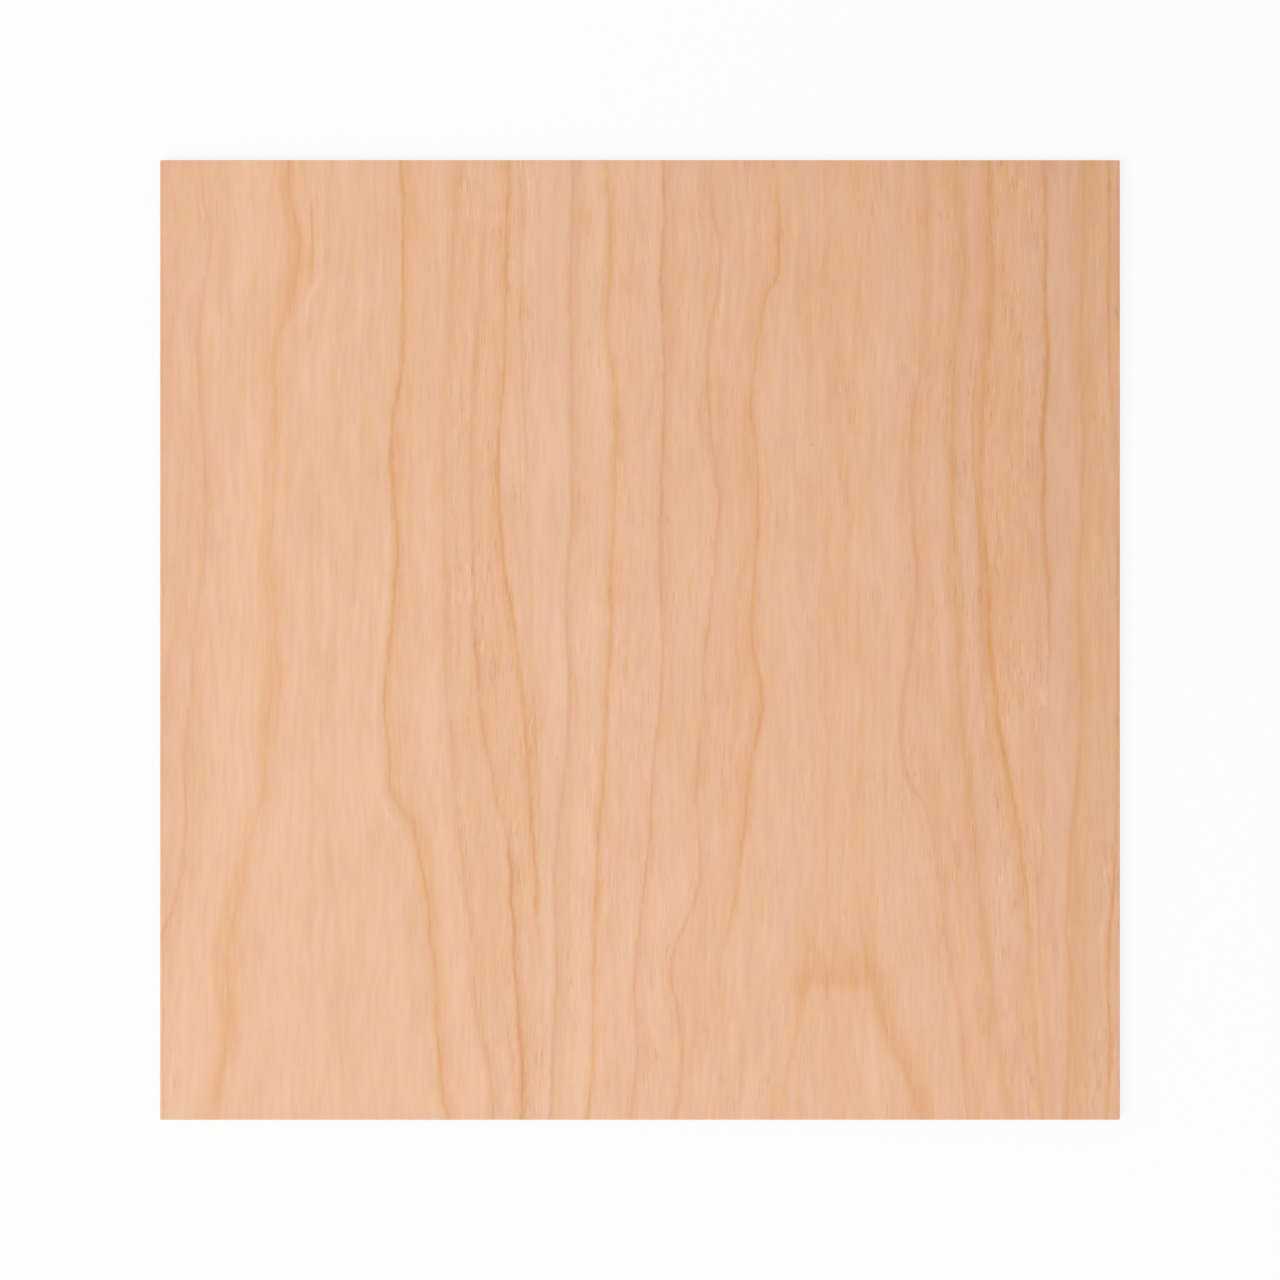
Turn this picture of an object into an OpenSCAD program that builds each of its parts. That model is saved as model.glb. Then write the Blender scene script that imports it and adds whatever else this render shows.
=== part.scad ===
// A flat square sheet of veneered plywood, sawn to size, with its sharp corners sanded off.
// It lies flat with its show face up. The grain of that face runs along Y.
// The origin is under the middle of the sheet, on the surface that it lies on.

/* [Sheet] */
// Width of the sheet, across the grain of its show face
sheet_w = 300; // [100:1:1220]
// Length of the sheet, along the grain of its show face
sheet_l = 300; // [100:1:2440]
// Thickness through all the glued plies
sheet_t = 6; // [3:0.5:25]

/* [Edges] */
// How far the sanding cuts into each face along a sharp corner
arris = 0.4; // [0.1:0.1:1]

/* [Hidden] */
veneer_colour = "#E9BA98";

// A rectangle about the origin with its four corners cut off at 45 degrees.
module eased_rectangle(size_x, size_y) {
    half_x = size_x / 2;
    half_y = size_y / 2;
    polygon([
        [half_x - arris, -half_y],
        [half_x, -half_y + arris],
        [half_x, half_y - arris],
        [half_x - arris, half_y],
        [-half_x + arris, half_y],
        [-half_x, half_y - arris],
        [-half_x, -half_y + arris],
        [-half_x + arris, -half_y],
    ]);
}

// The sheet is what its plan, its front section and its side section have in common,
// so all twelve of its corners carry the same arris.
module plywood_sheet() {
    color(veneer_colour)
        translate([0, 0, sheet_t / 2])
            intersection() {
                linear_extrude(sheet_t, center = true)
                    eased_rectangle(sheet_w, sheet_l);
                rotate([90, 0, 0])
                    linear_extrude(sheet_l, center = true)
                        eased_rectangle(sheet_w, sheet_t);
                rotate([90, 0, 90])
                    linear_extrude(sheet_w, center = true)
                        eased_rectangle(sheet_l, sheet_t);
            }
}

plywood_sheet();
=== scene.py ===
# A square plywood sheet with a plain-sliced cherry face, lying flat and seen from straight above.
import math
import bpy
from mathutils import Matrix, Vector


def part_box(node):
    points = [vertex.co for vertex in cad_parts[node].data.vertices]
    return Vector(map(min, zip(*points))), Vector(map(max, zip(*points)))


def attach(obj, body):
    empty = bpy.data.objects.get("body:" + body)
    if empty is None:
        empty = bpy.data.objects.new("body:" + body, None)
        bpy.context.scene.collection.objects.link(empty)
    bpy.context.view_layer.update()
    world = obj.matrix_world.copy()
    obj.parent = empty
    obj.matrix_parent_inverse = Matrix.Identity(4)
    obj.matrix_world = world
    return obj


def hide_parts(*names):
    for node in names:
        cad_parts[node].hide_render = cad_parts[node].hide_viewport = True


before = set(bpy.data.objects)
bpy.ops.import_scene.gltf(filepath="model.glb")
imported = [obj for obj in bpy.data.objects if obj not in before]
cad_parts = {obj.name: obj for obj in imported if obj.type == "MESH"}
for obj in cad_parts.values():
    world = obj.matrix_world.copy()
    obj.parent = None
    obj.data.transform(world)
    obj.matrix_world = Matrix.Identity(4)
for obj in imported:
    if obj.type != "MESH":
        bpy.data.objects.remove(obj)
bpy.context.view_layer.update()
sheetLow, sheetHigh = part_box("plywood_sheet")
mm = 0.001
percent = 0.01
sheetWide = (sheetHigh.x - sheetLow.x) / mm   # across the face grain
sheetLong = (sheetHigh.y - sheetLow.y) / mm   # along the face grain
sheetThick = (sheetHigh.z - sheetLow.z) / mm
woodIor = 1.5
mostNoise = {"From Min": 0.3, "From Max": 0.7}      # where most of a noise's values lie
wideNoise = {"From Min": 0.25, "From Max": 0.75}    # where nearly all of them lie
print(f"frame: sheet of {sheetWide:.0f} x {sheetLong:.0f} x {sheetThick:.1f} mm")


def hexColour(code):   # sRGB hex to the linear colour that a socket takes
    channels = [int(code[i:i + 2], 16) / 255 for i in (1, 3, 5)]
    return [c / 12.92 if c <= 0.04045 else ((c + 0.055) / 1.055) ** 2.4 for c in channels] + [1.0]


def addNode(tree, kind, inputs=None, **settings):
    node = tree.nodes.new("ShaderNode" + kind)
    for name, value in settings.items():
        setattr(node, name, value)
    for key, value in (inputs or {}).items():
        if isinstance(key, int):
            socket = node.inputs[key]
        else:
            socket = next(s for s in node.inputs if s.enabled and s.name == key)
        if isinstance(value, bpy.types.Node):   # a node stands for its first output in use
            value = next(s for s in value.outputs if s.enabled)
        if isinstance(value, bpy.types.NodeSocket):
            tree.links.new(value, socket)
        else:
            socket.default_value = value
    return node


def fillCurve(node, spots):   # the curve goes through these spots and stays level past its ends
    node.mapping.use_clip = False
    node.mapping.extend = "HORIZONTAL"
    points = node.mapping.curves[0].points
    points[0].location, points[1].location = spots[0], spots[-1]
    for spot in spots[1:-1]:
        points.new(*spot)
    node.mapping.update()


def grainNoise(tree, at, size, seed, detail=1.0):   # soft blobs of so many mm across and along the grain
    wide, long = size
    place = addNode(tree, "Mapping", {"Vector": at, "Scale": (1 / wide, 1 / long, 1),
                                      "Location": (0, 0, seed)})
    return addNode(tree, "TexNoise", {"Vector": place, "Scale": 1.0, "Detail": detail}).outputs["Fac"]


def newMaterial(name):
    material = bpy.data.materials.new(name)
    material.use_nodes = True
    material.node_tree.nodes.clear()
    return material


def placeInMm(tree):   # mm from the sheet's lower left corner, seen from above, and up from its underside
    coords = addNode(tree, "TexCoord")
    return addNode(tree, "Mapping", {"Vector": coords.outputs["Object"], "Scale": (1 / mm, 1 / mm, 1 / mm),
                                     "Location": (sheetWide / 2, sheetLong / 2, 0)})


# The growth rings of the show face. Each line follows a ring of the photo, through points read off it:
# (mm from the left edge, mm from the bottom edge, how strong it is there).
# left and right are how far its soft halo reaches to either side, in mm.
# A line with bends=True also bends the fibres beside it, and crisp is the share of its thin dark core.
growthRings = [
    dict(wood="brown", left=1.6, right=3, bends=True, line=[
        (12.5, 300, .3), (13, 290, .3), (15.6, 279, .35), (13.4, 256, .35), (12, 240, .4),
        (13.9, 207, .35), (13.6, 175, .3), (10.2, 149, .35), (9.8, 134, .45), (7.6, 113, .5),
        (8, 91, .45), (5.5, 71, .5), (0, 56, .6), (-6, 30, .3), (-8, 0, .3)]),
    dict(wood="ochre", left=7, right=3.2, crisp=.28, bends=True, line=[
        (40.3, 300, .6), (40.3, 290, .6), (41.2, 285, .6), (43, 279, .65), (43.3, 268, .6),
        (42.2, 262, .55), (41.4, 257, .5), (40, 252, .45), (38.2, 248, .45), (36.8, 243, .45),
        (35.8, 236, .4), (35.8, 225, .4), (35.4, 205, .4), (34.9, 188, .45), (34.3, 172, .45),
        (36.3, 160, .45), (36, 150, .5), (36.5, 140, .6), (34.5, 130, .45), (33, 120, .45),
        (32.8, 104, .45), (29.5, 92, .45), (26.5, 82, .5), (25.2, 72, .55), (22.3, 60, .5),
        (21.3, 50, .55), (21.4, 34, .6), (20.2, 20, .5), (18, 9, .45), (16.6, 0, .45)]),
    dict(wood="ochre", left=2.2, right=5.5, bends=True, line=[
        (75, 300, .85), (76.2, 284, .95), (76, 262, .95), (75.9, 243, .9), (75, 231, .9),
        (73, 220, .82), (72.1, 208, .8), (72.8, 197, .8), (74.2, 181, .86), (73.6, 168, .82),
        (72.3, 154, .82), (70.6, 139, .8), (70.1, 129, .8), (71.2, 118, .8), (71.6, 111, .75),
        (71.8, 105, .6), (72.8, 100.5, .3), (75.2, 98, .12), (77.6, 96, .2), (79.3, 91.5, .5),
        (80.4, 86, .65), (81.3, 80, .65), (83.3, 72, .65), (84.2, 58, .65), (86.2, 46, .75),
        (86.3, 33, .75), (87.3, 20, .8), (88.4, 9, .7), (90.3, 0, .55)]),
    dict(wood="brown", left=2.4, right=3.2, crisp=.25, bends=True, line=[
        (92.3, 300, .22), (92, 280, .24), (90.4, 254, .24), (88.8, 226, .22), (88.8, 200, .22),
        (89.3, 172, .3), (89.7, 150, .45), (89.4, 140, .45), (91, 120, .45), (92, 104, .45),
        (93.3, 92, .45), (94.7, 80, .5), (96.3, 67, .5), (98.2, 52, .5), (98.5, 40, .45),
        (99.5, 30, .5), (102.8, 17, .5), (104, 0, .4)]),
    dict(wood="brown", left=1.8, right=3.6, bends=True, line=[
        (102, 300, .2), (101, 275, .25), (98.8, 245, .4), (97.7, 222, .5), (97.1, 203, .5),
        (97.9, 180, .6), (98.1, 163, .6), (99, 142, .65), (100.5, 124, .65), (103, 112, .5),
        (106, 97, .4), (108.6, 86, .65), (109.8, 77, 1), (109.6, 70, .9), (110.5, 62, 1),
        (110.6, 50, 1), (111.9, 40, 1), (112.2, 28, 1), (113.2, 14, 1), (112.8, 0, .9)]),
    dict(wood="ochre", left=4, right=2, bends=True, line=[
        (108.6, 300, .65), (108.4, 278, .7), (107.9, 258, .7), (107.8, 243, .7), (106.9, 225, .8),
        (105.6, 208, .9), (105.4, 198, 1), (106.4, 184, 1), (107.7, 171, 1), (110.2, 158, .85),
        (111.6, 147, .65), (113.2, 134, .58), (114.4, 120, .6), (115.6, 104, .75), (116.3, 91, .85),
        (117.4, 77, .8), (118, 60, .45), (118.6, 47, .15), (118.8, 35, 0), (118.6, 0, 0)]),
    dict(wood="brown", left=1.8, right=5, bends=True, line=[
        (129, 300, .6), (128.7, 280, .6), (128, 256, .6), (128.5, 240, .55), (128.7, 210, .55),
        (128.3, 186, .55), (127.2, 168, .55), (127.1, 153, .6), (128.1, 138, .6), (127.6, 122, .55),
        (126.4, 106, .5), (124.8, 94, .5), (123.6, 80, .5), (123.7, 60, .55), (124, 43, .7),
        (123.2, 28, .7), (122.5, 13, .65), (121.7, 0, .65)]),
    dict(wood="ochre", left=3, right=2.6, crisp=.4, bends=True, line=[
        (139.4, 300, .52), (140.6, 282, .56), (140.5, 264, .56), (139.6, 250, .56), (140.9, 238, .64),
        (142.3, 222, .64), (142.3, 204, .64), (141.8, 188, .68), (140.7, 168, .72), (140.8, 153, .75),
        (139.8, 137, .8), (139.2, 118, .75), (138.6, 105, .7), (137.2, 90, .7), (136.4, 70, .75),
        (135.6, 50, .8), (135.4, 36, .75), (135.3, 22, .85), (134.5, 9, .8), (133.5, 0, .75)]),
    dict(wood="brown", left=1.4, right=4, bends=True, line=[
        (157, 300, .75), (157.5, 280, .8), (156.6, 261, .7), (157.5, 247, .75), (157.6, 225, .7),
        (157, 203, .7), (156.4, 186, .7), (156.5, 165, .75), (157, 149, .7), (156.4, 131, .7),
        (154.8, 116, .7), (153.7, 102, .7), (152.6, 85, .7), (151.2, 71, .65), (149.6, 58, .55),
        (148.2, 43, .5), (148.9, 29, .5), (149.3, 21, .5), (147.8, 8, .55), (147.2, 0, .55)]),
    dict(wood="brown", left=2.2, right=3, bends=True, line=[
        (172.4, 300, .4), (172.6, 284, .5), (174.9, 275, .5), (174.5, 260, .45), (172, 248, .5),
        (170.9, 234, .55), (171.8, 220, .5), (173.4, 206, .5), (174.6, 191, .55), (173.8, 178, .5),
        (172.6, 164, .5), (171, 151, .5), (169.8, 138, .5), (169.6, 128, .45), (168.3, 113, .45),
        (167.7, 100, .5), (168.7, 87, .5), (167.8, 71, .5), (164.5, 62, .55), (161, 54, .65),
        (159.6, 45, .6), (161.4, 36, .55), (163, 26, .55), (162.9, 13, .5), (160.7, 0, .45)]),
    dict(wood="ochre", left=4.8, right=2.4, bends=True, line=[
        (191.5, 300, .45), (193, 285, .65), (193.3, 272, .75), (192.4, 263, .75), (189.4, 257, .65),
        (187.6, 248, .65), (186, 237, .6), (184.5, 224, .65), (186, 213, .6), (186.7, 200, .65),
        (187, 187, .75), (186, 173, .65), (184.7, 157, .65), (185.8, 145, .65), (187.9, 135, .75),
        (187.5, 124, .75), (185, 114, .65), (183.4, 100, .7), (182.6, 90, .7), (181, 80, .65),
        (179.6, 68, .6), (177, 58, .45), (175, 50, .35), (174.6, 44, .35), (175.6, 33, .3),
        (175.3, 18, .3), (174, 5, .25), (172.8, 0, .2)]),
    dict(wood="ochre", left=4, right=2.6, crisp=.3, bends=True, line=[
        (203, 300, 0), (203, 120, 0), (202.5, 60, 0), (201.6, 48, .1), (200.9, 41, .38),
        (200.4, 37, .48), (199.8, 32, .48), (199, 27, .46), (197.8, 22, .4), (196.6, 17, .36),
        (195.5, 12, .36), (194.3, 8, .36), (192.9, 4, .4), (191.4, 0, .4)]),
    dict(wood="ochre", left=4.5, right=9, crisp=.1, bends=True, line=[
        (223, 300, 0), (222.5, 200, 0), (221.5, 110, 0), (220.5, 95, 0), (220, 80, 0), (220.2, 65, 0),
        (221.4, 53, .15), (222.7, 47, .48), (223.6, 43, .66), (225, 36, .62), (226.4, 31, .62),
        (227.8, 27, .6), (230.6, 20, .48), (233.6, 14, .44), (235.8, 9, .45), (237, 4, .43),
        (237.8, 0, .42)]),
    dict(wood="brown", left=2, right=4, bends=True, line=[
        (238.7, 300, .24), (239, 278, .3), (239.2, 250, .3), (238, 235, .33), (235.5, 223, .36),
        (234.4, 207, .42), (235.4, 187, .5), (236.4, 172, .55), (235.4, 153, .45), (233.5, 139, .5),
        (231.8, 127, .55), (232.2, 114, .55), (234.5, 105, .5), (238.5, 99, .45), (241.5, 89, .36),
        (243.4, 76, .33), (245.2, 64, .33), (247, 50, .36), (249.3, 37, .4), (250.5, 24, .36),
        (251.2, 10, .36), (252.7, 0, .33)]),
    dict(wood="olive", left=4, right=3.6, crisp=.3, bends=True, line=[
        (250.6, 300, .46), (250.8, 272, .48), (251, 263, .48), (249.8, 251, .5), (248.3, 236, .52),
        (247.8, 220, .54), (247.8, 200, .54), (248.2, 184, .56), (249, 168, .56), (249.5, 150, .58),
        (249.7, 134, .6), (250.9, 119, .58), (252.3, 106, .58), (253.2, 95, .58), (255.3, 80, .52),
        (256.4, 69, .46), (258, 55, .45), (259.5, 43, .42), (260.2, 30, .4), (262, 20, .4),
        (264.5, 9, .38), (267, 0, .38)]),
    dict(wood="olive", left=4.6, right=2.2, crisp=.42, core=1.25, bends=True, line=[
        (258.7, 300, .7), (259.7, 278, .75), (259.7, 255, .7), (258.4, 238, .75), (256.9, 223, .68),
        (256.7, 212, .68), (256.2, 200, .72), (257.2, 184, .77), (258.5, 171, .87), (259, 157, .92),
        (260.2, 143, 1), (261.2, 130, 1), (262.6, 120, 1), (265, 109, 1), (267.2, 97, 1),
        (269, 86, .85), (270.4, 74, .7), (271.4, 59, .48), (272.2, 43, .4), (273.4, 30, .36),
        (274.4, 17, .36), (276.2, 0, .36)]),
    dict(wood="ochre", left=2.6, right=2, core=1.25, bends=True, line=[
        (276.3, 300, .75), (276.8, 278, .8), (276.6, 258, .85), (277.4, 243, .95), (276.8, 227, .95),
        (276, 214, 1), (276.2, 200, 1), (276, 188, .95), (277.2, 174, .85), (277.9, 160, .7),
        (278, 146, .5), (277.8, 138, .2), (277.8, 120, 0), (279.6, 0, 0)]),
    dict(wood="olive", left=1.9, right=7, bends=True, line=[
        (289, 300, .45), (288.6, 278, .47), (288, 256, .47), (288.2, 235, .45), (288.3, 205, .48),
        (288, 183, .5), (287, 166, .5), (287.1, 150, .5), (287.9, 134, .54), (287.6, 118, .54),
        (286.4, 101, .52), (284.8, 89, .5), (284.2, 74, .5), (283.6, 57, .5), (285, 42, .52),
        (284.5, 30, .52), (283.9, 16, .52), (283, 0, .5)]),
    dict(wood="ochre", left=1.9, right=2.2, bends=True, line=[
        (296.5, 300, .5), (296.7, 275, .55), (296.4, 250, .55), (297, 230, .5), (298.3, 215, .5),
        (298.9, 198, .5), (299.1, 150, .5), (299, 105, .55), (298.5, 86, .7), (297.8, 70, .75),
        (296.6, 57, .8), (296.3, 43, .75), (296.8, 24, .75), (296.3, 10, .7), (295.8, 0, .7)]),
    # Finer lines between the rings
    dict(wood="brown", left=0.8, right=0.8, line=[
        (0.8, 300, .4), (0.7, 250, .4), (0.8, 200, .3), (1, 120, .1), (1.3, 55, .1), (1, 42, .4),
        (1, 20, .4), (1.2, 0, .2)]),
    dict(wood="ochre", left=1.3, right=1.3, crisp=.3, line=[
        (47, 292, 0), (47.3, 284, .5), (47.6, 275, .6), (47.5, 266, .5), (47, 260, 0)]),
    dict(wood="brown", left=0.8, right=0.8, line=[
        (102.6, 190, 0), (103, 182, .3), (104, 165, .3), (104.5, 155, .25), (105, 148, 0)]),
    dict(wood="ochre", left=0.9, right=1.1, line=[
        (113.6, 300, .25), (113.4, 270, .35), (112.8, 245, .35), (114, 215, .25), (115.2, 190, .3),
        (115.5, 172, .3), (116.5, 150, .15), (117, 128, .35), (117.8, 110, .35), (118.5, 95, .15),
        (119.5, 80, 0)]),
    dict(wood="brown", left=0.9, right=2, line=[
        (255.2, 238, 0), (254.3, 226, .3), (253.9, 212, .4), (254.6, 200, .4), (255.6, 187, .45),
        (256.5, 170, .45), (256.9, 150, .4), (257.2, 134, .35), (258.2, 122, .3), (260, 112, .1),
        (261, 104, 0)]),
    dict(wood="brown", left=1, right=1.2, line=[
        (273.6, 88, 0), (274, 75, .3), (274.6, 58, .3), (275, 43, .35), (277, 28, .3), (278, 10, .2),
        (278.6, 0, .2)]),
    dict(wood="brown", left=0.9, right=1.2, line=[
        (294.6, 110, 0), (294.5, 95, .2), (294.3, 80, .2), (293.5, 55, .2), (293.2, 40, .1),
        (293, 20, 0)]),
    dict(wood="ochre", left=1, right=2.6, line=[
        (109, 85, 0), (109.8, 77, .2), (110.5, 62, .22), (111.9, 40, .22), (113.2, 14, .22),
        (112.8, 0, .2)]),
    # Where the third ring forks round a twist in the grain
    dict(wood="ochre", left=4, right=4, crisp=0, line=[
        (73.5, 105, 0), (74.5, 100, .45), (76, 96.5, .55), (78, 92, .35), (80, 85, 0)]),
    dict(wood="brown", left=1.4, right=2.5, crisp=.2, line=[
        (80.6, 100, 0), (81, 96, .2), (82, 90, .25), (83, 84, .15), (83.5, 79, 0)]),
    # The crown of the arch, which runs across the grain
    dict(wood="ochre", left=5.5, right=19, crisp=0, runsAcross=True, line=[
        (197, 41, 0), (200, 42, .2), (203, 43, .4), (208, 44, .48), (213, 43.5, .42), (218, 43.5, .4),
        (221, 44, .22), (225, 44, 0)]),
    dict(wood="ochre", left=2.5, right=7, crisp=0, line=[
        (219.5, 102, 0), (219.3, 90, .11), (219.2, 75, .2), (219.2, 62, .26), (219.8, 54, .22),
        (221, 48, .12), (222, 43, 0)]),
    dict(wood="brown", left=2, right=2, crisp=.2, line=[
        (208.4, 47, 0), (208.8, 43, .3), (209.2, 38, .35), (209.4, 34, .2), (209.4, 29, 0)]),
    # Pale lines beside the rings
    dict(wood="pale", left=1.7, right=1.5, crisp=.3, line=[
        (50.4, 292, 0), (50.5, 284, .6), (50.3, 270, .7), (49.9, 263, .8), (48.4, 260.5, .9),
        (46.6, 257, .9), (46, 254, .8), (46.2, 250, .4), (46.8, 245, 0)]),
    dict(wood="pale", left=1.5, right=1.5, crisp=.2, line=[
        (71, 198, 0), (71.2, 183, .4), (70.7, 168, .5), (69.4, 154, .5), (67.7, 139, .5),
        (67.2, 129, .4), (68, 115, 0)]),
    dict(wood="pale", left=1.3, right=1.3, crisp=.2, line=[
        (69.5, 101, 0), (70.6, 97, .5), (72.8, 93.5, .5), (75, 90, .3), (76, 86, 0)]),
    dict(wood="pale", left=9, right=5, crisp=0, line=[
        (218, 36, 0), (219, 28, .15), (221, 20, .35), (224, 12, .3), (227, 4, .2), (228, 0, .2)]),
]

# Plain-sliced cherry veneer, sanded bare: pale peach wood with thin tan latewood lines, each with a soft
# halo, short fibre dashes along the grain and a soft, nearly matt surface.
showFace = dict(
    straw=("#F3C79E", "#E3AC6F"), rosy=("#F3C1A8", "#E3A57E"),   # palest and deepest wood, in two hues
    toneRange=(-6.3, 8.7), hueRange=(-4, 4),        # per cent, what those colours stand for
    # Per cent deeper, and per cent paler, at the two bottom corners and at the two top ones
    cornersDeeper=((-1.3, .1), (-.3, 2.7)), cornersPaler=((-3.8, 2), (0, -2.3)),
    crisp=0.55, coreWide=1.0,   # share of a ring's dark core, and mm from its middle to where it ends
    # Lines stray in long waves and in fibre steps: mm across and along, and mm that they stray
    wander=[dict(size=(14, 7), reach=0.2, seed=3, detail=2.0),
            dict(size=(2.5, 2.2), reach=0.14, seed=11, detail=1.0)],
    # Bands, picked and rounded from the photo's averages along the grain:
    # (mm across the straightened grain, per cent deeper, rosier and paler)
    bands=[(0, 1, .5, -1), (13, .5, 0, 0), (21, -2, -1, 0), (36, .5, 0, 1.5), (42, -1.5, -.5, 0),
           (60, -1, -.5, 0), (73, -1, -.5, 0), (84, 0, 0, 1.5), (88, -1.5, -.5, 1), (93, 0, 0, .5),
           (102, 1, 0, 1), (116, 0, 0, 0), (121, -4, .5, -2), (126, -2.5, 0, -2), (129, -1, -.5, 0),
           (134, -4.5, -1, -2), (142, -.5, .5, 2), (149, -2, 0, -1), (157, 0, .5, 1), (161, -1, 0, 0),
           (176, .5, .5, .5), (188, 0, 0, .5), (192, -1.5, 0, -.5), (200, 0, .5, 0), (219, 1, 0, 1),
           (233, -1, .5, -.5), (243, 1.5, .5, 0), (258, 0, 1, -2.5), (267, 1.5, .5, 0), (275, 1, 1, -2.5),
           (280, -1.5, 1.5, -5.5), (290, 1.5, 0, -3), (298, 0, .5, -3.5), (300, 3, 1, -2.5)],
    # Streaks: mm across and along, share of the bends they follow, per cent deeper and per cent greyer
    streaks=[dict(size=(0.7, 7), bent=0.1, deeper=0.8, greyer=1.1),
             dict(size=(1.7, 16), bent=0.25, deeper=2.4, greyer=0.5),
             dict(size=(5, 45), bent=0.7, deeper=1.9, greyer=0),
             dict(size=(17, 40), bent=0.6, deeper=1.2, greyer=0)],
    # Patches of another hue: mm across and along, and per cent to either side
    hues=[dict(size=(1.6, 3.5), swing=1.9), dict(size=(3.5, 8), swing=1.7), dict(size=(9, 22), swing=0.7)],
    # (mm across the straightened grain, share of fibre dashes there)
    dashes=[(0, .6), (50, .4), (92, .7), (100, 1.4), (116, 1.4), (119, .3), (126, .2), (130, 1), (160, 1),
            (195, .7), (250, 1), (264, 1.6), (276, 1.6), (278, .2), (286, .2), (290, 1), (300, 1.5)],
    dashSize=(0.34, 8),     # mm, single fibre bundles; about twice as coarse as real so that they show
    dashCut=(0.61, 0.67),   # the noise's level where a dash begins and where it is full
    dashBent=0.1,           # share of the bends that they follow
    dashDeeper=(3, -2.5), dashPaler=(-9, 6),        # per cent, for the dark ones and for the pale ones
    clusterSize=(7, 30), clusterCut=(0.3, 0.65),    # mm of their clusters, and the same two levels
    paleLines=5.0,          # per cent, how much paler the pale lines are
    # Flecks: mm from the left and bottom edges, per cent deeper
    flecks=[(36.9, 272.8, -12), (38.6, 269, -9), (3.5, 186, -9), (249.3, 161.5, -14), (285.5, 124, -9),
            (61.6, 252.6, 11), (204, 211, 16), (208.3, 212.5, 10), (236, 108, 14), (124, 113, 16),
            (214, 65, 11), (157, 100.5, 11)],
    fleckWide=0.55,         # mm
    arrisPaintedHighlight=2.0, arrisHighlightFade=(0.9, 0.3),   # per cent of painted highlight on the eased arris, and mm from the edge
    olive="#F3E6BF", orange="#F8E1BF", brown="#F1E1CF",     # latewood stains, which tint the wood under them
    stainFibre=(0.7, 9), stainBroken=(0.6, 1.4),    # mm of the fibres that break a stain, its least and most
    stainTurn=(12, 14),     # mm of the patches where an ochre stain turns from olive to orange
    coreShade="#FCFDFE", coreShadeFrom=(0.25, 0.8),     # takes the orange out of the strongest cores
    roughness=(0.52, 0.66),
    reliefSize=(0.5, 8), relief=0.012,      # mm of the fibres that stand proud, and how far
)


def ringProfile(ring):   # how dark a ring is at each mm across it: soft halos and a thin core
    def fade(share):
        share = min(max(share, 0), 1)
        return share * share * (3 - 2 * share)

    crisp = ring.get("crisp", showFace["crisp"])
    core = ring.get("core", showFace["coreWide"])
    stepsEachSide = 16
    spots = {}
    for side, halo in ((-1, ring["left"]), (1, ring["right"])):
        reach = max(halo, core)
        for step in range(stepsEachSide + 1):
            apart = reach * step / stepsEachSide
            spots[side * apart] = (1 - crisp) * fade(1 - apart / halo) + crisp * fade(1 - apart / core)
    return sorted(spots.items())


def drawRings(tree, across, along, inMm):
    # The lines wander a little, as fibres do
    strays = {"across": across, "along": along}
    for wave in showFace["wander"]:
        noise = grainNoise(tree, inMm, wave["size"], wave["seed"], wave["detail"])
        stray = addNode(tree, "MapRange", {"Value": noise, **mostNoise, "To Min": -wave["reach"],
                                           "To Max": wave["reach"]}, clamp=False)
        for name in strays:
            strays[name] = addNode(tree, "Math", {0: strays[name], 1: stray}, operation="ADD")
    acrossShare = addNode(tree, "Math", {0: across, 1: sheetWide}, operation="DIVIDE")
    alongShare = addNode(tree, "Math", {0: along, 1: sheetLong}, operation="DIVIDE")

    # One path, one strength curve and one profile for each ring
    latewood = {}
    straight = None
    before = None
    for ring in growthRings:
        if ring.get("runsAcross"):
            points = sorted((x / sheetWide, y / sheetLong, dark) for x, y, dark in ring["line"])
            share, stray, side = acrossShare, strays["along"], sheetLong
        else:
            points = sorted((y / sheetLong, x / sheetWide, dark) for x, y, dark in ring["line"])
            share, stray, side = alongShare, strays["across"], sheetWide
        path = addNode(tree, "FloatCurve", {"Value": share})
        fillCurve(path, [(run, place) for run, place, dark in points])
        strength = addNode(tree, "FloatCurve", {"Value": share})
        fillCurve(strength, [(run, dark) for run, place, dark in points])
        off = addNode(tree, "Math", {0: path, 1: -side, 2: stray}, operation="MULTIPLY_ADD")
        profile = addNode(tree, "FloatCurve", {"Value": off})
        fillCurve(profile, ringProfile(ring))
        drawn = latewood.get(ring["wood"], 0.0)
        latewood[ring["wood"]] = addNode(tree, "Math", {0: profile, 1: strength, 2: drawn},
                                         operation="MULTIPLY_ADD")

        # The across-grain place with the bends taken out, so that bands and streaks follow the rings
        if ring.get("bends"):
            restAt = sheetWide * sum(place for run, place, dark in points) / len(points)
            if before is None:
                below = addNode(tree, "Math", {0: acrossShare, 1: path}, operation="SUBTRACT")
                below = addNode(tree, "Math", {0: below, 1: 0.0}, operation="MINIMUM")
                straight = addNode(tree, "Math", {0: below, 1: sheetWide, 2: restAt},
                                   operation="MULTIPLY_ADD")
            else:
                gap = addNode(tree, "MapRange", {"Value": acrossShare, "From Min": before, "From Max": path,
                                                 "To Min": 0.0, "To Max": restAt - lastAt})
                straight = addNode(tree, "Math", {0: straight, 1: gap}, operation="ADD")
            before, lastAt = path, restAt
    beyond = addNode(tree, "Math", {0: acrossShare, 1: before}, operation="SUBTRACT")
    beyond = addNode(tree, "Math", {0: beyond, 1: 0.0}, operation="MAXIMUM")
    straight = addNode(tree, "Math", {0: beyond, 1: sheetWide, 2: straight}, operation="MULTIPLY_ADD")
    return latewood, straight


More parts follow.
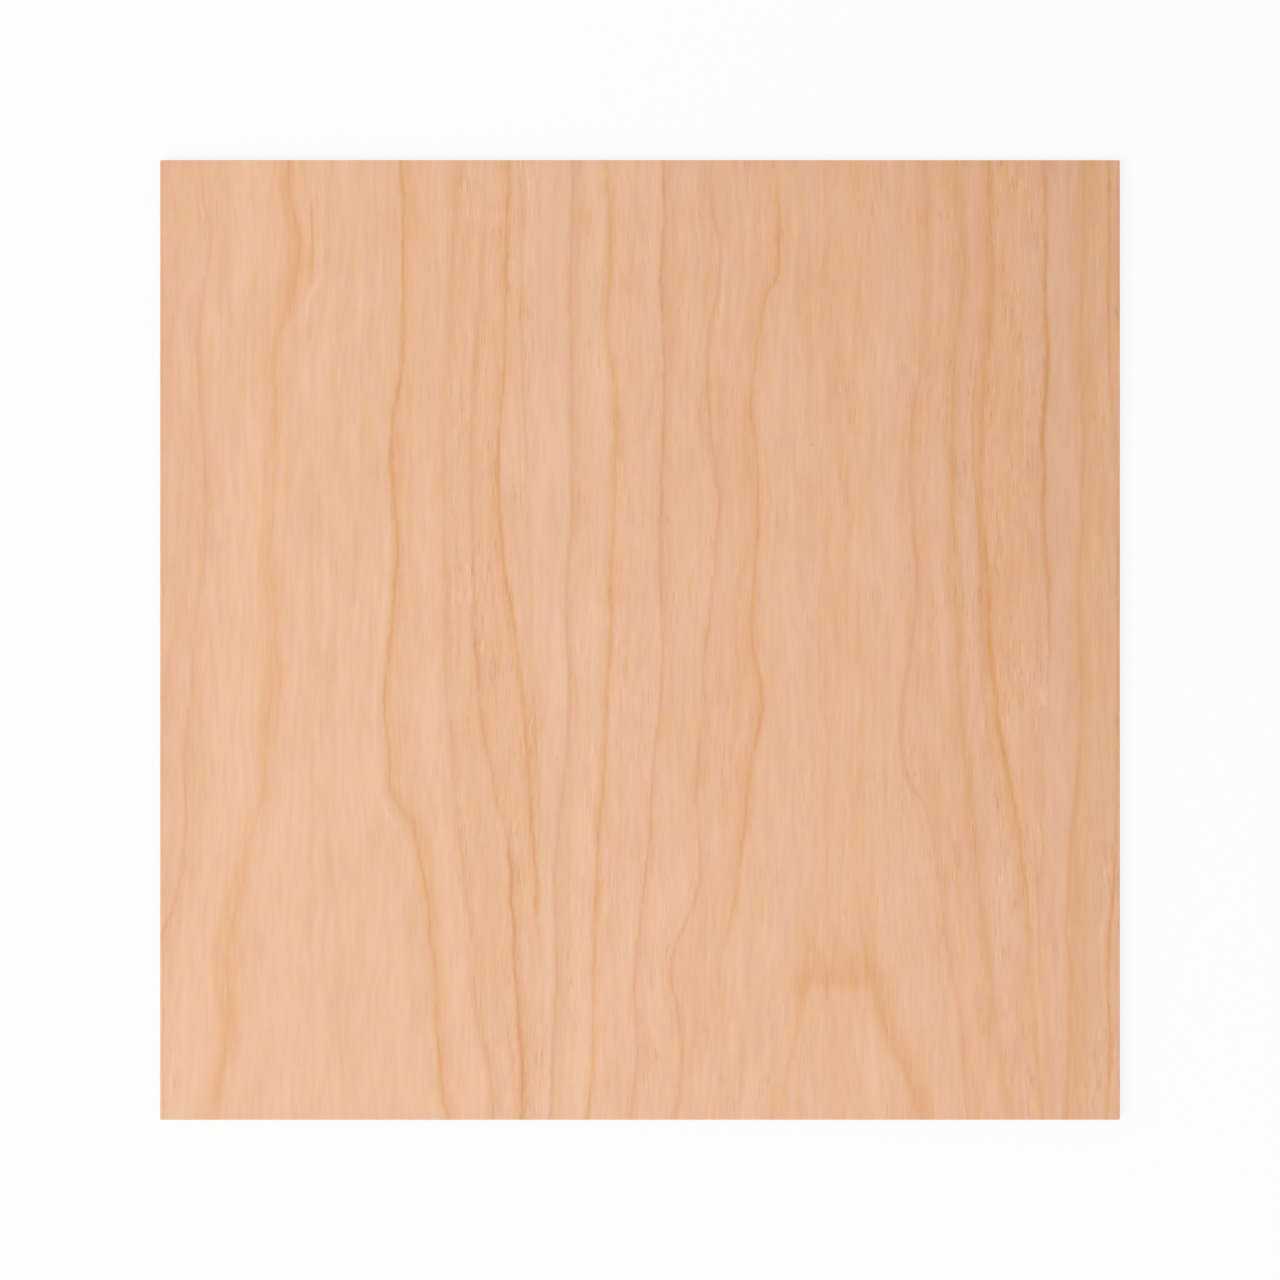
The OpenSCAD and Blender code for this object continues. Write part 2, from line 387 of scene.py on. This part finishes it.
def colourWood(tree, tone, hue, paler):   # per cent deeper, rosier and paler to a colour
    palest, deepest = showFace["toneRange"]
    toneShare = addNode(tree, "MapRange", {"Value": tone, "From Min": palest, "From Max": deepest})
    coolest, warmest = showFace["hueRange"]
    hueShare = addNode(tree, "MapRange", {"Value": hue, "From Min": coolest, "From Max": warmest})
    woods = []
    for pale, deep in (showFace["straw"], showFace["rosy"]):
        woods.append(addNode(tree, "Mix", {"Factor": toneShare, "A": hexColour(pale), "B": hexColour(deep)},
                             data_type="RGBA"))
    wood = addNode(tree, "Mix", {"Factor": hueShare, "A": woods[0], "B": woods[1]}, data_type="RGBA")
    level = addNode(tree, "Math", {0: paler, 1: percent, 2: 1.0}, operation="MULTIPLY_ADD")
    return addNode(tree, "VectorMath", {0: wood, "Scale": level}, operation="SCALE").outputs["Vector"]


def stainWood(tree, wood, latewood, at):   # latewood stains it, broken up by the fibres
    least, most = showFace["stainBroken"]
    fibre = grainNoise(tree, at, showFace["stainFibre"], 30, 2.0)
    broken = addNode(tree, "MapRange", {"Value": fibre, **mostNoise, "To Min": least, "To Max": most})
    turn = grainNoise(tree, at, showFace["stainTurn"], 35)
    turn = addNode(tree, "MapRange", {"Value": turn, **mostNoise})
    stains = {name: hexColour(showFace[name]) for name in ("brown", "olive")}
    stains["ochre"] = addNode(tree, "Mix", {"Factor": turn, "A": stains["olive"],
                                            "B": hexColour(showFace["orange"])}, data_type="RGBA")
    for name, stain in stains.items():
        share = addNode(tree, "Math", {0: latewood[name], 1: broken}, operation="MULTIPLY")
        wood = addNode(tree, "Mix", {"Factor": share, "A": wood, "B": stain}, data_type="RGBA",
                       blend_type="MULTIPLY")
    weak, strong = showFace["coreShadeFrom"]    # of the ochre stain, which is the last one
    dark = addNode(tree, "MapRange", {"Value": share, "From Min": weak, "From Max": strong})
    return addNode(tree, "Mix", {"Factor": dark, "A": wood, "B": hexColour(showFace["coreShade"])},
                   data_type="RGBA", blend_type="MULTIPLY")


def makeShowFace():
    material = newMaterial("cherryVeneerSandedBare")
    tree = material.node_tree
    inMm = placeInMm(tree)
    split = addNode(tree, "SeparateXYZ", {"Vector": inMm})
    across, along = split.outputs["X"], split.outputs["Y"]
    latewood, straight = drawRings(tree, across, along, inMm)

    # Broad bands of paler and deeper wood, and where the dashes are
    straightShare = addNode(tree, "Math", {0: straight, 1: sheetWide}, operation="DIVIDE")
    curveScale = 10     # per cent for each unit of a curve, which is then about as tall as wide
    bandCurves = []
    for number in (1, 2, 3):
        curve = addNode(tree, "FloatCurve", {"Value": straightShare})
        fillCurve(curve, [(band[0] / sheetWide, band[number] / curveScale) for band in showFace["bands"]])
        bandCurves.append(addNode(tree, "Math", {0: curve, 1: curveScale}, operation="MULTIPLY"))
    tone, hue, paler = bandCurves
    dashShare = addNode(tree, "FloatCurve", {"Value": straightShare})
    fillCurve(dashShare, [(place / sheetWide, share) for place, share in showFace["dashes"]])

    # Fibre streaks and clouds, each at its own size in mm
    for number, streak in enumerate(showFace["streaks"]):
        bent = addNode(tree, "Mix", {"Factor": streak["bent"], "A": across, "B": straight},
                       data_type="FLOAT")
        at = addNode(tree, "CombineXYZ", {"X": bent, "Y": along, "Z": 0.0})
        noise = grainNoise(tree, at, streak["size"], 7.3 * number, 2.0)
        part = addNode(tree, "MapRange", {"Value": noise, **wideNoise, "To Min": -1.0})
        tone = addNode(tree, "Math", {0: part, 1: streak["deeper"], 2: tone}, operation="MULTIPLY_ADD")
        paler = addNode(tree, "Math", {0: part, 1: -streak["greyer"], 2: paler}, operation="MULTIPLY_ADD")

    # Short pale and dark dashes, in clusters
    bent = addNode(tree, "Mix", {"Factor": showFace["dashBent"], "A": across, "B": straight},
                   data_type="FLOAT")
    at = addNode(tree, "CombineXYZ", {"X": bent, "Y": along, "Z": 0.0})
    cluster = grainNoise(tree, at, showFace["clusterSize"], 55)
    few, many = showFace["clusterCut"]
    often = addNode(tree, "MapRange", {"Value": cluster, "From Min": few, "From Max": many})
    often = addNode(tree, "Math", {0: often, 1: dashShare}, operation="MULTIPLY")
    begins, full = showFace["dashCut"]
    for seed, deeper, lighter in zip((61, 67), showFace["dashDeeper"], showFace["dashPaler"]):
        dash = grainNoise(tree, at, showFace["dashSize"], seed)
        part = addNode(tree, "MapRange", {"Value": dash, "From Min": begins, "From Max": full})
        part = addNode(tree, "Math", {0: part, 1: often}, operation="MULTIPLY")
        tone = addNode(tree, "Math", {0: part, 1: deeper, 2: tone}, operation="MULTIPLY_ADD")
        paler = addNode(tree, "Math", {0: part, 1: lighter, 2: paler}, operation="MULTIPLY_ADD")

    # A slow drift over the whole sheet
    drifts = []
    for corners in (showFace["cornersDeeper"], showFace["cornersPaler"]):
        rows = []
        for left, right in corners:
            rows.append(addNode(tree, "MapRange", {"Value": across, "From Max": sheetWide,
                                                   "To Min": left, "To Max": right}))
        drifts.append(addNode(tree, "MapRange", {"Value": along, "From Max": sheetLong,
                                                 "To Min": rows[0], "To Max": rows[1]}))
    tone = addNode(tree, "Math", {0: tone, 1: drifts[0]}, operation="ADD")
    paler = addNode(tree, "Math", {0: paler, 1: drifts[1]}, operation="ADD")

    # Pale lines, single flecks, and a painted highlight on the rim, where the eased arris would catch the
    # light
    tone = addNode(tree, "Math", {0: latewood["pale"], 1: -showFace["paleLines"], 2: tone},
                   operation="MULTIPLY_ADD")
    for x, y, deeper in showFace["flecks"]:
        apart = addNode(tree, "VectorMath", {0: inMm, 1: (x, y, sheetThick)}, operation="DISTANCE")
        part = addNode(tree, "MapRange", {"Value": apart.outputs["Value"], "To Max": deeper,
                                          "From Min": showFace["fleckWide"], "From Max": 0.0},
                       interpolation_type="SMOOTHSTEP")
        tone = addNode(tree, "Math", {0: tone, 1: part}, operation="ADD")
    inside = []
    for place, side in ((across, sheetWide), (along, sheetLong)):
        apart = addNode(tree, "Math", {0: place, 1: side / 2}, operation="SUBTRACT")
        apart = addNode(tree, "Math", {0: apart}, operation="ABSOLUTE")
        inside.append(addNode(tree, "Math", {0: side / 2, 1: apart}, operation="SUBTRACT"))
    inside = addNode(tree, "Math", {0: inside[0], 1: inside[1]}, operation="MINIMUM")
    # painted highlight: the rim near the edge is painted paler, in place of light caught by the arris
    fadeEnd, fadeStart = showFace["arrisHighlightFade"]
    paintedRimHighlight = addNode(tree, "MapRange", {"Value": inside, "From Min": fadeEnd, "From Max": fadeStart,
                                     "To Max": showFace["arrisPaintedHighlight"]})
    tone = addNode(tree, "Math", {0: tone, 1: paintedRimHighlight}, operation="SUBTRACT")

    # The wood's own colour, in patches of two hues, and the latewood on it
    for number, patch in enumerate(showFace["hues"]):
        noise = grainNoise(tree, at, patch["size"], 90 + 5 * number)
        part = addNode(tree, "MapRange", {"Value": noise, **wideNoise, "To Min": -patch["swing"],
                                          "To Max": patch["swing"]})
        hue = addNode(tree, "Math", {0: hue, 1: part}, operation="ADD")
    wood = colourWood(tree, tone, hue, paler)
    wood = stainWood(tree, wood, latewood, at)

    low, high = showFace["roughness"]
    gloss = addNode(tree, "MapRange", {"Value": cluster, **mostNoise, "To Min": low, "To Max": high})
    relief = grainNoise(tree, inMm, showFace["reliefSize"], 20, 0.0)
    bump = addNode(tree, "Bump", {"Height": relief, "Strength": 1.0, "Distance": showFace["relief"] * mm})
    surface = addNode(tree, "BsdfPrincipled", {"Base Color": wood, "Roughness": gloss, "IOR": woodIor,
                                               "Normal": bump})
    addNode(tree, "OutputMaterial", {"Surface": surface})
    print(f"show face: {len(growthRings)} lines, {len(tree.nodes)} nodes")
    return material


# The back is a plainer leaf of the same cherry: straighter grain, faint rings, a rougher sanding.
backFace = dict(
    pale="#EDC4A0", deep="#DDA67C", tone=0.45,      # the tone is between the two
    streaks=[dict(size=(0.8, 9), swing=.22), dict(size=(3, 40), swing=.25),
             dict(size=(24, 120), swing=.25)],      # mm across and along, and how far they move the tone
    ringTint="#EAD9C2", ringApart=19,               # mm between rings
    ringFades=(3.4, 0.8),       # mm from a ring to where its halo and its core fade out
    # Noise moves the rings in slow bends and in small ones: mm across and along, and mm that they move
    ringSway=[dict(size=(75, 300), seed=71, reach=44), dict(size=(13, 32), seed=74, reach=3)],
    ringComes=(16, 80), ringLeast=0.1,      # mm of the stretches where rings come and go, and their least
    roughness=(0.6, 0.74),
    reliefSize=(0.5, 8), relief=0.02,       # mm of the fibres that stand proud, and how far
)


def makeBackFace():
    material = newMaterial("cherryBackVeneerSanded")
    tree = material.node_tree
    inMm = placeInMm(tree)
    tone = backFace["tone"]
    for number, streak in enumerate(backFace["streaks"]):
        noise = grainNoise(tree, inMm, streak["size"], 40 + 6 * number, 2.0)
        part = addNode(tree, "MapRange", {"Value": noise, **wideNoise, "To Min": -streak["swing"],
                                          "To Max": streak["swing"]})
        tone = addNode(tree, "Math", {0: tone, 1: part}, operation="ADD")
    wood = addNode(tree, "Mix", {"Factor": tone, "A": hexColour(backFace["pale"]),
                                 "B": hexColour(backFace["deep"])}, data_type="RGBA")

    # Rings: an uneven row of lines that bend slowly along the grain, and come and go
    swayed = addNode(tree, "SeparateXYZ", {"Vector": inMm}).outputs["X"]
    for sway in backFace["ringSway"]:
        noise = grainNoise(tree, inMm, sway["size"], sway["seed"])
        swayed = addNode(tree, "Math", {0: noise, 1: sway["reach"], 2: swayed}, operation="MULTIPLY_ADD")
    apart = addNode(tree, "Math", {0: swayed, 1: backFace["ringApart"] / 2}, operation="PINGPONG")
    ring = 0.0
    for reach in backFace["ringFades"]:
        part = addNode(tree, "MapRange", {"Value": apart, "From Min": reach, "From Max": 0.0, "To Max": 0.5},
                       interpolation_type="SMOOTHSTEP")
        ring = addNode(tree, "Math", {0: part, 1: ring}, operation="ADD")
    strength = grainNoise(tree, inMm, backFace["ringComes"], 77)
    strength = addNode(tree, "MapRange", {"Value": strength, **mostNoise, "To Min": backFace["ringLeast"]})
    ring = addNode(tree, "Math", {0: ring, 1: strength}, operation="MULTIPLY")
    wood = addNode(tree, "Mix", {"Factor": ring, "A": wood, "B": hexColour(backFace["ringTint"])},
                   data_type="RGBA", blend_type="MULTIPLY")

    fibre = grainNoise(tree, inMm, backFace["reliefSize"], 20)
    low, high = backFace["roughness"]
    gloss = addNode(tree, "MapRange", {"Value": fibre, **mostNoise, "To Min": low, "To Max": high})
    bump = addNode(tree, "Bump", {"Height": fibre, "Strength": 1.0, "Distance": backFace["relief"] * mm})
    surface = addNode(tree, "BsdfPrincipled", {"Base Color": wood, "Roughness": gloss, "IOR": woodIor,
                                               "Normal": bump})
    addNode(tree, "OutputMaterial", {"Surface": surface})
    print(f"back face: {len(tree.nodes)} nodes")
    return material


# Glued plies, back veneer first. Each is laid across the one below it.
sheet = dict(
    plies=(0.6, 1.5, 1.8, 1.5, 0.6),    # mm
    arris=0.4,          # mm that sanding takes off each sharp corner
    arrisFacets=2,
    glueLine=0.14, glueDeep=0.06,       # mm, the sunk line between two plies
)

# Sawn edges: plies in turn show their side, in long pale streaks, and their end grain, which is darker and
# speckled with pores. The glue between them is a thin brown line, and the saw leaves faint upright marks.
sawnEdge = dict(
    side=("#EBD0A6", "#D9B280"), end=("#C99C6C", "#A97B4E"), glue="#7A5334",
    tone=0.4, figureSwing=0.35,             # between pale and deep, and how far the figure moves it
    plyTones=(.1, -.15, .05, .2, -.05),     # how much deeper each ply is, back veneer first
    streakSize=(12, 0.14),                  # mm along the edge and upright, fibres on a ply's side
    poreSize=(0.22, 0.22), raySize=(0.5, 2.5),      # mm, on end grain; pores about twice as coarse as real
    cloudSize=(22, 3),                      # mm, patches of deeper wood
    sawMarkSize=(1.1, 30), sawRelief=0.02,  # mm of the saw's marks, and how deep they are
    roughness=(0.68, 0.82),
)


def makeSawnEdge(name, lengthAxis, endFirst):
    material = newMaterial(name)
    tree = material.node_tree
    split = addNode(tree, "SeparateXYZ", {"Vector": placeInMm(tree)})
    length, height = split.outputs[lengthAxis], split.outputs["Z"]
    at = addNode(tree, "CombineXYZ", {"X": length, "Y": height, "Z": 0.0})

    # Which ply this is, and whether it shows its end grain here
    isEnd, tone, glue = 0.0, sawnEdge["tone"], 0.0
    low = 0.0
    for number, ply in enumerate(sheet["plies"]):
        here = addNode(tree, "Math", {0: height, 1: low + ply / 2, 2: ply / 2}, operation="COMPARE")
        tone = addNode(tree, "Math", {0: here, 1: sawnEdge["plyTones"][number], 2: tone},
                       operation="MULTIPLY_ADD")
        if (number % 2 == 0) == endFirst:
            isEnd = addNode(tree, "Math", {0: here, 1: isEnd}, operation="ADD")
        if number > 0:
            line = addNode(tree, "Math", {0: height, 1: low, 2: sheet["glueLine"] / 2}, operation="COMPARE")
            glue = addNode(tree, "Math", {0: line, 1: glue}, operation="ADD")
        low += ply

    streak = grainNoise(tree, at, sawnEdge["streakSize"], 5, 2.0)
    pore = grainNoise(tree, at, sawnEdge["poreSize"], 15, 2.0)
    ray = grainNoise(tree, at, sawnEdge["raySize"], 25)
    cloud = grainNoise(tree, at, sawnEdge["cloudSize"], 33)
    speckle = addNode(tree, "Mix", {"Factor": 0.5, "A": pore, "B": ray}, data_type="FLOAT")
    figure = addNode(tree, "Mix", {"Factor": isEnd, "A": streak, "B": speckle}, data_type="FLOAT")
    for noise in (figure, cloud):
        part = addNode(tree, "MapRange", {"Value": noise, **mostNoise, "To Min": -sawnEdge["figureSwing"],
                                          "To Max": sawnEdge["figureSwing"]})
        tone = addNode(tree, "Math", {0: tone, 1: part}, operation="ADD")
    woods = []
    for pale, deep in (sawnEdge["side"], sawnEdge["end"]):
        woods.append(addNode(tree, "Mix", {"Factor": tone, "A": hexColour(pale), "B": hexColour(deep)},
                             data_type="RGBA"))
    wood = addNode(tree, "Mix", {"Factor": isEnd, "A": woods[0], "B": woods[1]}, data_type="RGBA")
    wood = addNode(tree, "Mix", {"Factor": glue, "A": wood, "B": hexColour(sawnEdge["glue"])},
                   data_type="RGBA")

    marks = grainNoise(tree, at, sawnEdge["sawMarkSize"], 45)
    rough = addNode(tree, "Math", {0: marks, 1: figure}, operation="ADD")
    bump = addNode(tree, "Bump", {"Height": rough, "Strength": 1.0, "Distance": sawnEdge["sawRelief"] * mm})
    low, high = sawnEdge["roughness"]
    gloss = addNode(tree, "MapRange", {"Value": figure, **mostNoise, "To Min": low, "To Max": high})
    surface = addNode(tree, "BsdfPrincipled", {"Base Color": wood, "Roughness": gloss, "IOR": woodIor,
                                               "Normal": bump})
    addNode(tree, "OutputMaterial", {"Surface": surface})
    print(f"{name}: {len(tree.nodes)} nodes")
    return material


def bevelRim(piece, height):   # eases the edges that lie at this height
    near = 0.01 * mm
    bpy.ops.object.mode_set(mode="EDIT")
    bpy.ops.mesh.select_mode(type="EDGE")
    bpy.ops.mesh.select_all(action="DESELECT")
    bpy.ops.object.mode_set(mode="OBJECT")
    spots = piece.data.vertices
    for edge in piece.data.edges:
        edge.select = all(abs(spots[i].co.z - height) < near for i in edge.vertices)
    bpy.ops.object.mode_set(mode="EDIT")
    bpy.ops.mesh.bevel(offset=sheet["arris"] * mm, segments=sheet["arrisFacets"], affect="EDGES")
    bpy.ops.object.mode_set(mode="OBJECT")


def makeSheet():
    bpy.ops.object.select_all(action="DESELECT")
    bpy.ops.mesh.primitive_plane_add(size=1, calc_uvs=False, location=(0, 0, sheetLow.z))
    piece = bpy.context.object
    piece.name = "cherryPlySheet"
    bpy.ops.object.transform_apply(location=True)
    bpy.ops.object.mode_set(mode="EDIT")
    bpy.ops.transform.resize(value=(sheetWide * mm, sheetLong * mm, 1))
    # Eased corners in plan
    bpy.ops.mesh.bevel(offset=sheet["arris"] * mm, segments=sheet["arrisFacets"], affect="VERTICES")
    bpy.ops.mesh.select_all(action="SELECT")

    # One ply at a time, upwards, with a sunk glue line before each new one
    half = sheet["glueLine"] / 2
    sunk = (1 - 2 * sheet["glueDeep"] / sheetWide, 1 - 2 * sheet["glueDeep"] / sheetLong, 1)
    last = len(sheet["plies"]) - 1
    for number, ply in enumerate(sheet["plies"]):
        rise = ply - half * ((number > 0) + (number < last))
        bpy.ops.mesh.extrude_region_move(TRANSFORM_OT_translate={"value": (0, 0, rise * mm)})
        if number < last:
            bpy.ops.mesh.extrude_region_move(TRANSFORM_OT_translate={"value": (0, 0, half * mm)})
            bpy.ops.transform.resize(value=sunk)
            bpy.ops.mesh.extrude_region_move(TRANSFORM_OT_translate={"value": (0, 0, half * mm)})
            bpy.ops.transform.resize(value=[1 / s for s in sunk])
    bpy.ops.mesh.select_all(action="SELECT")
    bpy.ops.mesh.normals_make_consistent(inside=False)
    bpy.ops.object.mode_set(mode="OBJECT")
    for height in (sheetLow.z, sheetHigh.z):
        bevelRim(piece, height)
    print(f"sheet: {len(piece.data.polygons)} faces")
    return piece


# The map that a baked picture is laid on: the show face gets most of it, finer across the grain than along
bakeMap = dict(
    run=(0.004, 0.996),     # every strip's two ends
    show=(0.004, 0.60), back=(0.61, 0.80), left=(0.81, 0.85), right=(0.858, 0.898),
    bottom=(0.906, 0.946), top=(0.954, 0.994),      # each strip's lower and upper edge
)


def dressSheet(piece):   # each face gets its material and its place on the map by the way it looks
    slots = {}
    makers = (("show", makeShowFace()), ("back", makeBackFace()),
              ("side", makeSawnEdge("plyEdgeSawnAlongGrain", "Y", False)),
              ("end", makeSawnEdge("plyEdgeSawnAcrossGrain", "X", True)))
    for name, material in makers:
        slots[name] = len(piece.data.materials)
        piece.data.materials.append(material)
    upright = 0.3       # how much a face may look up or down and still be an edge
    mapLayer = piece.data.uv_layers.new(name="OFBake")
    for face in piece.data.polygons:
        look = face.normal
        fromFace = min(face.center.z - sheetLow.z, sheetHigh.z - face.center.z)
        if abs(look.z) > upright and fromFace < sheet["arris"] * mm:
            strip = "show" if look.z > 0 else "back"
            face.material_index = slots[strip]
        elif abs(look.x) >= abs(look.y):
            strip = "left" if look.x < 0 else "right"
            face.material_index = slots["side"]
        else:
            strip = "bottom" if look.y < 0 else "top"
            face.material_index = slots["end"]
        start, end = bakeMap["run"]
        bottom, top = bakeMap[strip]
        for corner in face.loop_indices:
            x, y, z = piece.data.vertices[piece.data.loops[corner].vertex_index].co
            acrossShare, alongShare = x / (sheetWide * mm) + 0.5, y / (sheetLong * mm) + 0.5
            run = alongShare if strip in ("left", "right") else acrossShare
            rise = alongShare if strip in ("show", "back") else (z - sheetLow.z) / (sheetThick * mm)
            mapLayer.data[corner].uv = (start + (end - start) * run, bottom + (top - bottom) * rise)


piece = makeSheet()
dressSheet(piece)
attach(piece, "root")
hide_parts("plywood_sheet")
print("sheet: dressed")

# Studio, in metres: a floor of matt white paint, which shows no gloss and only the sheet's soft shadow,
# an even sky and one large soft lamp at the lower left
white = "#FFFFFF"
studio = dict(
    floor="#F4F4F4", floorGlow=0.86,    # share of plain white that the camera sees; the rest takes shadow
    floorWide=6, floorGap=0.2 * mm,     # the gap keeps the floor clear of the back veneer
    sky=0.54, lampWatts=22.3, lampSide=1.0, lampAt=(-0.85, -0.5, 1.9),
)

bpy.ops.object.select_all(action="DESELECT")
bpy.ops.mesh.primitive_plane_add(size=studio["floorWide"], location=(0, 0, sheetLow.z - studio["floorGap"]))
floor = bpy.context.object
floor.name = "studioFloor"
floorWhite = newMaterial("mattWhiteFloor")
tree = floorWhite.node_tree
rays = addNode(tree, "LightPath")
seen = rays.outputs["Is Camera Ray"]
for name in ("Is Glossy Ray", "Is Transmission Ray"):
    seen = addNode(tree, "Math", {0: seen, 1: rays.outputs[name]}, operation="MAXIMUM")
share = addNode(tree, "Math", {0: seen, 1: studio["floorGlow"]}, operation="MULTIPLY")
paint = addNode(tree, "BsdfDiffuse", {"Color": hexColour(studio["floor"])})
glow = addNode(tree, "Emission", {"Color": hexColour(white), "Strength": 1.0})
mixed = addNode(tree, "MixShader", {0: share, 1: paint, 2: glow})
addNode(tree, "OutputMaterial", {"Surface": mixed})
floor.data.materials.append(floorWhite)

# The sky is white where the camera sees it, and dimmer as a light
world = bpy.data.worlds.new("studioSky")
bpy.context.scene.world = world
world.use_nodes = True
tree = world.node_tree
tree.nodes.clear()
rays = addNode(tree, "LightPath")
strength = addNode(tree, "MapRange", {"Value": rays.outputs["Is Camera Ray"], "To Min": studio["sky"],
                                      "To Max": 1.0})
sky = addNode(tree, "Background", {"Color": hexColour(white), "Strength": strength})
addNode(tree, "OutputWorld", {"Surface": sky})

bpy.ops.object.light_add(type="AREA", location=studio["lampAt"])
lamp = bpy.context.object
lamp.name = "softLamp"
lamp.data.size = studio["lampSide"]
lamp.data.energy = studio["lampWatts"]
x, y, z = studio["lampAt"]
lamp.rotation_euler = (math.atan2(math.hypot(x, y), z), 0, math.atan2(x, -y))   # it looks at the origin
print("studio: floor, sky and lamp")

# The camera looks straight down, with the face grain upright in the picture
shot = dict(
    lens=100, sensor=36,    # mm
    frameWide=400,          # mm, the whole picture's width at the show face
    clipEnd=20,             # m
)
cameraUp = sheetHigh.z + shot["frameWide"] * mm * shot["lens"] / shot["sensor"]
bpy.ops.object.camera_add(location=(0, 0, cameraUp))
camera = bpy.context.object
camera.data.lens = shot["lens"]
camera.data.sensor_width = shot["sensor"]
camera.data.clip_end = shot["clipEnd"]
bpy.context.scene.camera = camera
bpy.context.scene.view_settings.view_transform = "Standard"
print("camera: straight down")
